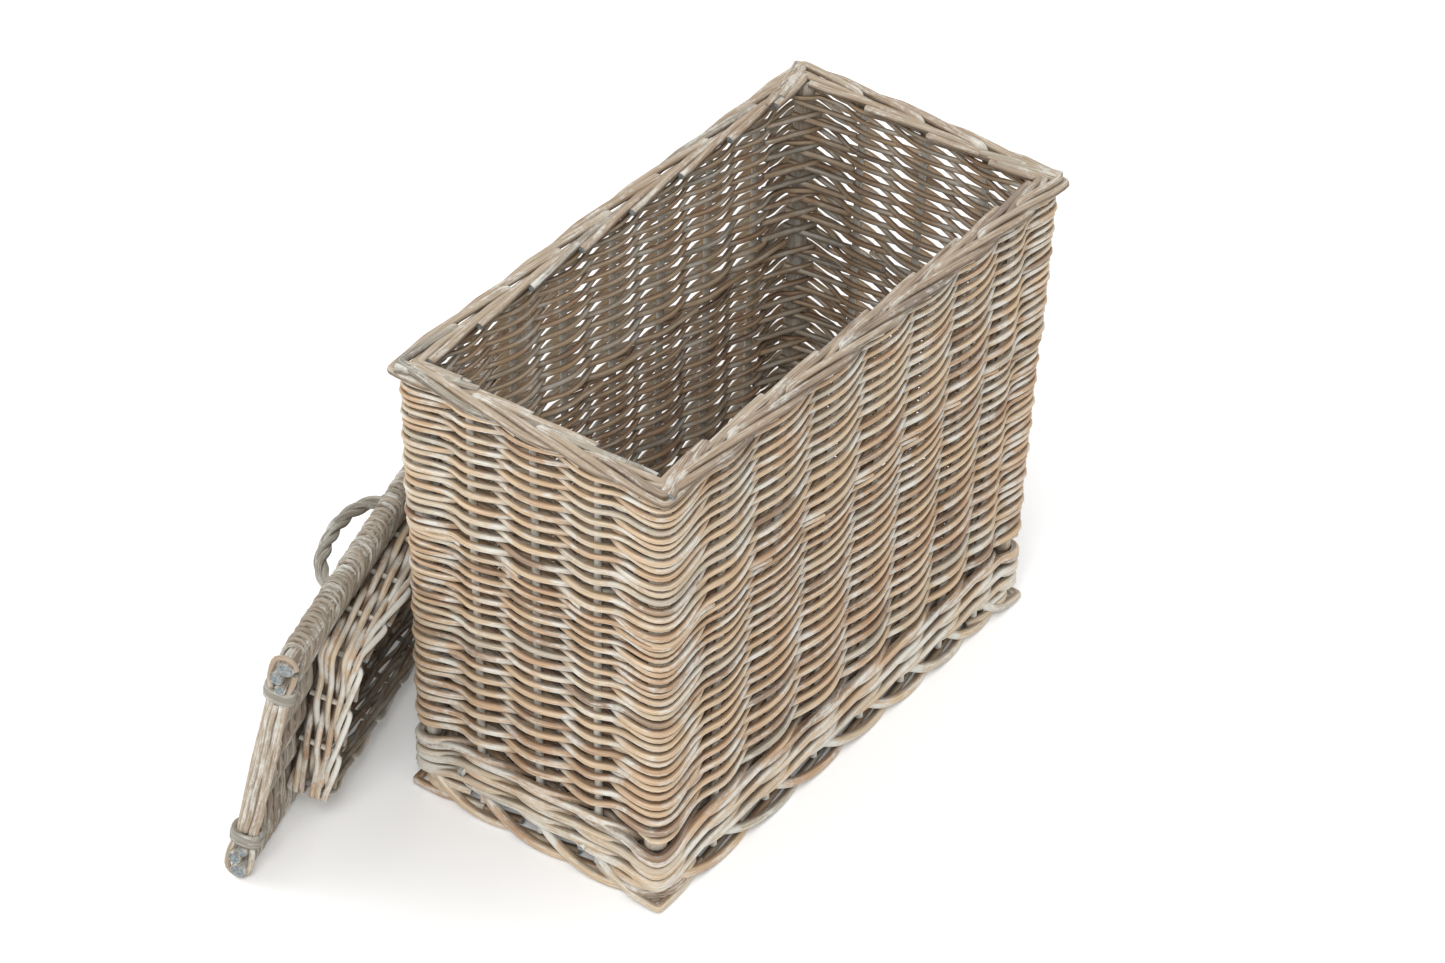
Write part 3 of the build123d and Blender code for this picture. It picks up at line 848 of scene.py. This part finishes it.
# radius, distance from the lid's edge and height of the three sticks in an edge bundle
EDGE_STICKS = ((7.0, 11.0, 2.0), (6.0, 23.2, -3.5), (4.5, 32.7, 1.5))
END_THICK, OVERHANG = 9.0, 6.0
INNER_V = [46 + 158 * i / 4 for i in range(5)]
INNER_R = 4.0
HOLLOW_HALF_U, HOLLOW_HALF_V = 205 - 8, 84 - 8     # the raised frame's inside


def lid_painted_shade(p):
    """Painted shade: darker in the raised frame's hollow and against the panel's underside."""
    q = p - LID_ORIGIN
    u, v, n = q @ U, q @ V, q @ N
    inside = np.minimum(HOLLOW_HALF_U - np.abs(u - LID_MID_U),
                        HOLLOW_HALF_V - np.abs(v - LID_MID_V))
    hollow = np.clip((inside + 3) / 6, 0, 1) * np.clip((n + 3) / 3, 0, 1)
    return 1 - 2.2 * hollow


def lid_tone():
    return rng.beta(2.2, 2.2)


# edge bundles: three sticks along each long edge, cut ends showing
for name, flip in (("lid_edge_sticks_lower", False), ("lid_edge_sticks_upper", True)):
    edge = Bundle(sides=14)
    for r, from_edge, n in EDGE_STICKS:
        v = LID_WIDE - from_edge if flip else from_edge
        path = stick_path((-OVERHANG, v, n), (LID_LONG + OVERHANG, v, n), 20, 0.0)
        path[:, 1] += wander(path[:, 0], 0.5, 300)
        edge.rod(lid(path), r * np.linspace(1.0, 0.94, len(path)), tone=rng.uniform(0.6, 0.9),
                 wash=0.5, chamfer=0.12)
    # the edge sticks take the shaded willow: painted shade, so the gaps between the weavers read
    # dark
    edge.piece(f"{name}_willow", "lid", (name,), WILLOW_SHADE, lid_painted_shade)

inner = Bundle(sides=10)
for v in INNER_V:
    path = stick_path((14, v, 0), (LID_LONG - 14, v, 0), 20, 0.0)
    path[:, 1] += wander(path[:, 0], 0.8, 240)
    inner.rod(lid(path), INNER_R, tone=rng.uniform(0.4, 0.9), wash=0.4)
inner.piece("lid_inner_sticks_willow", "lid", ("lid_inner_sticks",), WILLOW_STICK,
            lid_painted_shade)

# weavers across the sticks, each wrapped round both edge bundles
ROW = 6.35
LID_ROD_R = 2.95
LID_STEP = 5.6


def wrap(edge_n):
    """From the panel's one face round the edge bundle to its other, as (v from edge, n)."""
    arc = [(46, -3.0), (38, -6.2), (28, -edge_n + 0.6), (18, -edge_n), (9, -edge_n + 1.0)]
    for beta in np.radians(np.linspace(60, -60, 5)):
        arc.append((10.5 - 7.8 * math.cos(beta), -(edge_n - 0.3) * math.sin(beta)))
    return arc + [(9, edge_n - 1.0), (18, edge_n), (28, edge_n - 0.6), (38, 6.2), (47, 3.5)]


lid_weave = Bundle()
first_u = END_THICK + 4 + ROW / 2
rows_u = np.arange(first_u, LID_LONG - first_u + 1, ROW)
for row, u0 in enumerate(rows_u):
    r = LID_ROD_R * rng.uniform(0.86, 1.08)
    flip = 1 if row % 2 else -1
    edge_n = ROLL_THICK / 2 - 2.6 + rng.uniform(-0.7, 0.5)
    loop = wrap(edge_n)
    # round the lower bundle, over and under the inner sticks, round the upper bundle
    slant = np.linspace(-ROW * 0.45, 0, len(loop))
    keys = [(u0 + du, v, flip * n) for (v, n), du in zip(loop, slant)]
    leave = np.sign(keys[-1][2])
    for i, v in enumerate(INNER_V):
        side = leave * (1 if i % 2 == 0 else -1)
        keys.append((u0, v + (7 if i == 0 else 0), side * (INNER_R * 0.72 + r * 0.5)))
    slant = np.linspace(0, ROW * 0.45, len(loop))
    keys += [(u0 + du, LID_WIDE - v, -leave * n) for (v, n), du in zip(loop, slant)]
    keys = np.array(keys)
    path = resample(relax(resample(keys, 3.0), 3), LID_STEP)
    d = np.arange(len(path)) * LID_STEP
    path[:, 0] += wander(d, 0.5, 150)
    path[:, 2] = np.clip(path[:, 2], -edge_n, edge_n)
    on_panel = np.clip((np.minimum(path[:, 1], LID_WIDE - path[:, 1]) - 30) / 14, 0, 1)
    rad = r * (0.8 + 0.38 * on_panel) * (1 + wander(d, 0.05, 120))
    lid_weave.rod(lid(path), rad, tone=lid_tone(), wash=0.3 + wander(d, 0.5, 100))
lid_weave.piece("lid_weave_rods", "lid", ("lid_weave",), WILLOW_GREY, lid_painted_shade)

# End rods, and the rod arched round the stick ends. End rods: place out of the end's middle,
# height, radius, and where they start and stop across the lid.
END_RODS = ((0.4, -6.8, 2.6, 39, 211), (-1.4, -2.4, 2.5, 36, 214), (0.4, 2.0, 2.7, 38, 212),
            (-0.8, 6.6, 2.5, 41, 208), (3.4, -4.4, 2.2, 44, 202), (3.8, -0.2, 2.4, 50, 196),
            (3.2, 4.4, 2.2, 42, 206))
ARCH_R, ARCH_BEND = 2.5, 8.6
ENDS = (("lid_end_near", END_THICK / 2, -1), ("lid_end_far", LID_LONG - END_THICK / 2, 1))
for name, mid_u, out in ENDS:
    end = Bundle(sides=10)
    for du, n, r, v0, v1 in END_RODS:
        u = mid_u + du * out
        keys = [(u, v0, n * 0.8), (u, v0 + 14, n * 0.9), (u, 90, n), (u, 160, n * 1.05),
                (u, v1 - 14, n * 0.9), (u, v1, n * 0.8)]
        path = spline(keys, 6.0)
        path[:, 2] += wander(path[:, 1], 0.8, 120)
        end.rod(lid(path), r * (1 + wander(path[:, 1], 0.06, 90)),
                tone=0.25 + 0.5 * rng.uniform(), wash=0.5)
    # the arch is a closed rod that passes outside both bundles
    side_n = ROLL_THICK / 2 - 1.2
    half_turn = np.radians(np.linspace(90, -90, 9))
    loop = [(LID_WIDE - 11 + ARCH_BEND * math.cos(b), side_n * math.sin(b)) for b in half_turn]
    loop += [(LID_WIDE - 26, -side_n), (LID_WIDE - 36, -side_n + 2), (LID_WIDE - 46, -side_n + 3),
             (LID_MID_V, -side_n + 2), (46, -side_n + 3), (36, -side_n + 2), (26, -side_n)]
    loop += [(11 - ARCH_BEND * math.cos(b), -side_n * math.sin(b)) for b in half_turn]
    loop += [(26, side_n), (36, side_n - 2), (46, side_n - 3), (LID_MID_V, side_n - 2),
             (LID_WIDE - 46, side_n - 3), (LID_WIDE - 36, side_n - 2), (LID_WIDE - 26, side_n),
             (LID_WIDE - 16, side_n)]
    keys = [(mid_u + out * (5.6 if abs(v - LID_MID_V) > 80 else 2.0), v, n) for v, n in loop]
    end.rod(lid(resample(relax(resample(keys, 2.5), 4), 4.5)), ARCH_R, tone=0.45, wash=0.3)
    end.piece(f"{name}_rods", "lid", (name,), WILLOW_END, lid_painted_shade)

# corner bindings
BIND_TURNS, BIND_R, BIND_WIDE = 3.2, 2.35, 12.0
BIND_POWER = 0.72        # below 1 squares the turns to the bundle they hold
BINDINGS = (("binding_near_lower", False, False), ("binding_near_upper", False, True),
            ("binding_far_lower", True, False), ("binding_far_upper", True, True))
for name, far, high in BINDINGS:
    mid_u = LID_LONG - END_THICK / 2 if far else END_THICK / 2
    v0 = LID_WIDE - 48.5 if high else 38.5
    bind = Bundle(sides=8)
    half_u, half_n = END_THICK / 2 + 3.2, ROLL_THICK / 2 + 0.4
    t = np.linspace(0, BIND_TURNS, int(BIND_TURNS * 20))
    ang = t * 2 * math.pi + 0.6
    cu = np.sign(np.cos(ang)) * np.abs(np.cos(ang)) ** BIND_POWER
    cn = np.sign(np.sin(ang)) * np.abs(np.sin(ang)) ** BIND_POWER
    grow = 1 + 0.05 * np.sin(t * 5)
    v = v0 + 0.5 + t / BIND_TURNS * BIND_WIDE + 0.8 * np.sin(ang + 1)
    path = np.stack([mid_u + cu * half_u * grow, v, cn * half_n * grow], axis=1)
    bind.rod(lid(path), BIND_R * (1 + 0.08 * np.sin(t * 7)), tone=0.9, wash=0.3)
    bind.piece(f"{name}_rods", "lid", (name,), WILLOW_ROPE, lid_painted_shade)

# ---------------------------------------------------------------- raised frame under the lid
PLUG_LONG, PLUG_WIDE, PLUG_WALL = 410.0, 168.0, 14.0
PLUG_LOW, PLUG_JOINT, PLUG_TOP = 6.3, 35.0, 45.0
PLUG_STAKE_R, PLUG_BORDER_R = 2.5, 2.75
plug_half = np.array([PLUG_LONG / 2 - PLUG_WALL / 2, PLUG_WIDE / 2 - PLUG_WALL / 2])


def plug_to_world(p):
    return lid(p + np.array([LID_MID_U, LID_MID_V, 0]))


PLUG = Ring(lambda z: plug_half, (7, 2, 7, 2), 3.0, turn=6.0, to_world=plug_to_world)
plug_stakes = Bundle(sides=8)
for k in range(PLUG.n):
    p, q = PLUG.upright(k, PLUG_LOW), PLUG.upright(k, PLUG_TOP - 5)
    plug_stakes.rod(plug_to_world(resample([p, q], 8)), PLUG_STAKE_R,
                    tone=rng.uniform(0.3, 0.9), wash=0.8)
plug_stakes.piece("plug_stakes_willow", "lid", ("plug_stakes",), WILLOW_STICK,
                  lid_painted_shade)

plug_weave = Bundle()
french_randing(plug_weave, PLUG, PLUG_LOW, PLUG_JOINT, 5.3, 4.6, PLUG_STAKE_R, inner_off=4.5,
               jitter=1.6, tones=lid_tone, fatness=(1.0, 1.22))
plug_weave.piece("plug_weave_rods", "lid", ("plug_weave",), WILLOW_STICK, lid_painted_shade)

plug_border = Bundle()
border(plug_border, PLUG,
       [(0.02, 0.0, PLUG_JOINT - 2, 0.6), (0.05, 0.0, PLUG_TOP - 5, 1.4),
        (0.14, 0.5, PLUG_TOP - 3, 2.2), (0.3, 1.6, PLUG_TOP - 3, 1.8),
        (0.65, 4.0, PLUG_TOP - 4.5, 0.8), (1.0, 5.0, PLUG_TOP - 6.5, 0.6),
        (1.4, 4.2, PLUG_TOP - 9, 0.6), (1.7, 0.0, PLUG_TOP - 8.6, 0.6),
        (2.0, -4.5, PLUG_TOP - 7.5, 0.6), (2.5, -4.8, PLUG_TOP - 5, 0.6),
        (2.9, -4.5, PLUG_TOP - 3.4, 0.8)],
       PLUG_BORDER_R, taper=0.85, tones=lid_tone, jitter=0.7)
plug_border.piece("plug_border_rods", "lid", ("plug_border",), WILLOW_STICK,
                  lid_painted_shade)

# ---------------------------------------------------------------- rope-twist handle
STRAND_R, STRAND_OFF = 3.1, 3.2
TWIST_LENGTH = 58.0
# the loop's middle line, as place along the lid and height out of its underside
HANDLE_KEYS = ((214, -4), (214, -24), (219, -41), (236, -51.5), (258, -56), (281, -57.5),
               (303, -54.5), (319, -48.5), (332, -37), (339, -21), (340, -4))
centre = spline([(u, LID_MID_V, n) for u, n in HANDLE_KEYS], 2.6, times=3)
d = travelled(centre)
tangent = unit(np.gradient(centre, axis=0))
across = np.tile(np.array([0.0, 1.0, 0.0]), (len(centre), 1))
normal = unit(np.cross(tangent, across))
handle = Bundle(sides=10)
for strand in range(3):
    angle = (d * (2 * math.pi / TWIST_LENGTH) + strand * 2 * math.pi / 3)[:, None]
    path = centre + STRAND_OFF * (np.cos(angle) * across + np.sin(angle) * normal)
    handle.rod(lid(path), STRAND_R, tone=0.7 + 0.1 * strand, wash=0.4 + wander(d, 0.4, 60))
handle.piece("handle_rope", "lid", ("handle",), WILLOW_ROPE, lid_painted_shade)

# ---------------------------------------------------------------- floor, light, camera
floor_mesh = bpy.data.meshes.new("floor")
floor_mesh.from_pydata([(-6, -6, 0), (6, -6, 0), (6, 6, 0), (-6, 6, 0)], [], [(0, 1, 2, 3)])
floor = bpy.data.objects.new("floor", floor_mesh)
bpy.context.scene.collection.objects.link(floor)
paint = Nodes("pale_floor")
paint.shader.inputs["Base Color"].default_value = (0.9, 0.9, 0.9, 1)
paint.shader.inputs["Roughness"].default_value = 0.9
paint.shader.inputs["Specular IOR Level"].default_value = 0.1
paint.shader.inputs["Emission Color"].default_value = (1, 1, 1, 1)
paint.shader.inputs["Emission Strength"].default_value = 0.12
floor_mesh.materials.append(paint.material)
floor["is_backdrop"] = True

world = bpy.data.worlds.new("studio")
world.use_nodes = True
world.node_tree.nodes["Background"].inputs["Color"].default_value = (1.0, 1.0, 1.0, 1)
world.node_tree.nodes["Background"].inputs["Strength"].default_value = 0.75
bpy.context.scene.world = world


def softbox(name, place, target, size, power):
    data = bpy.data.lights.new(name, "AREA")
    data.shape = "DISK"
    data.size = size
    data.energy = power
    light = bpy.data.objects.new(name, data)
    light.location = place
    light.rotation_mode = "QUATERNION"
    light.rotation_quaternion = (Vector(target) - Vector(place)).to_track_quat("-Z", "Y")
    bpy.context.scene.collection.objects.link(light)


softbox("key", (1.2, -2.6, 3.2), (0, 0, 0.2), 1.6, 75)
softbox("fill", (-2.4, -1.2, 2.4), (0, 0, 0.2), 2.2, 30)
softbox("back", (0.6, 2.6, 2.8), (0, 0, 0.2), 2.2, 30)

bpy.context.scene.view_settings.view_transform = "Standard"
bpy.context.scene.view_settings.look = "None"

CAMERA_PLACE = (1.96198, -2.74282, 2.90228)
CAMERA_ANGLES = (-35.678, 38.497, 1.966)    # azimuth, elevation down, roll in degrees
camera_data = bpy.data.cameras.new("camera")
camera_data.lens = 133.32
camera_data.sensor_width = 36.0
camera = bpy.data.objects.new("camera", camera_data)
azimuth, elevation, roll = map(math.radians, CAMERA_ANGLES)
ahead = Vector((math.cos(elevation) * math.sin(azimuth), math.cos(elevation) * math.cos(azimuth),
                -math.sin(elevation)))
level_right = Vector((math.cos(azimuth), -math.sin(azimuth), 0))
level_up = level_right.cross(ahead)
right = level_right * math.cos(roll) + level_up * math.sin(roll)
up = level_up * math.cos(roll) - level_right * math.sin(roll)
rows = [(right[i], up[i], -ahead[i], CAMERA_PLACE[i]) for i in range(3)]
camera.matrix_world = Matrix((*rows, (0, 0, 0, 1)))
bpy.context.scene.collection.objects.link(camera)
bpy.context.scene.camera = camera

low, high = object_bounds()
